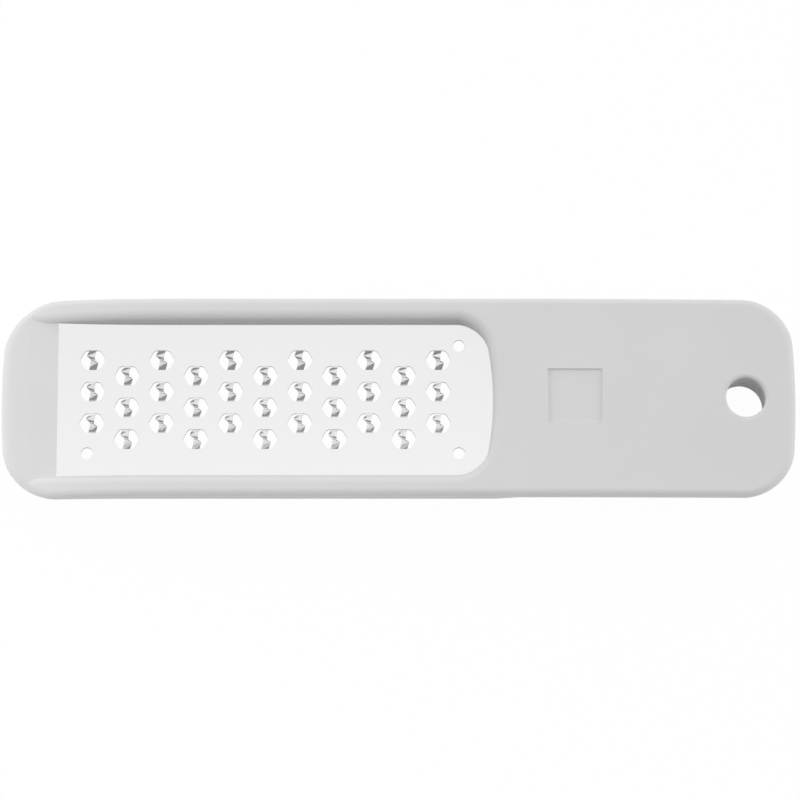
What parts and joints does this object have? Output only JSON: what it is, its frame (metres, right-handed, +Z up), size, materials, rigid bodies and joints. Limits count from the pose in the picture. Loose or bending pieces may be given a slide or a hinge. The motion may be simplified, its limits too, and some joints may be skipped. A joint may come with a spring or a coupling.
{
  "type": "flat grater",
  "caption": "Flat hand grater: moulded body with a long rounded handle and hanging hole, holding a sunken steel plate of stamped S-shaped cutting bridges over hexagonal openings.",
  "frame": {"origin": "middle of the footprint, on the surface that the grater lies on", "axes": "+X from the nose to the handle end, +Y across the body, +Z up out of the plate"},
  "size_m": [0.16, 0.0404, 0.0135],
  "materials": {
    "body_plastic": "light grey moulded plastic, fine satin grain",
    "plate_steel": "bright satin stainless sheet"
  },
  "bodies": {
    "root": {"upper_shell": "body_plastic", "lower_shell": "body_plastic", "grating_plate": "plate_steel"}
  },
  "joints": []
}
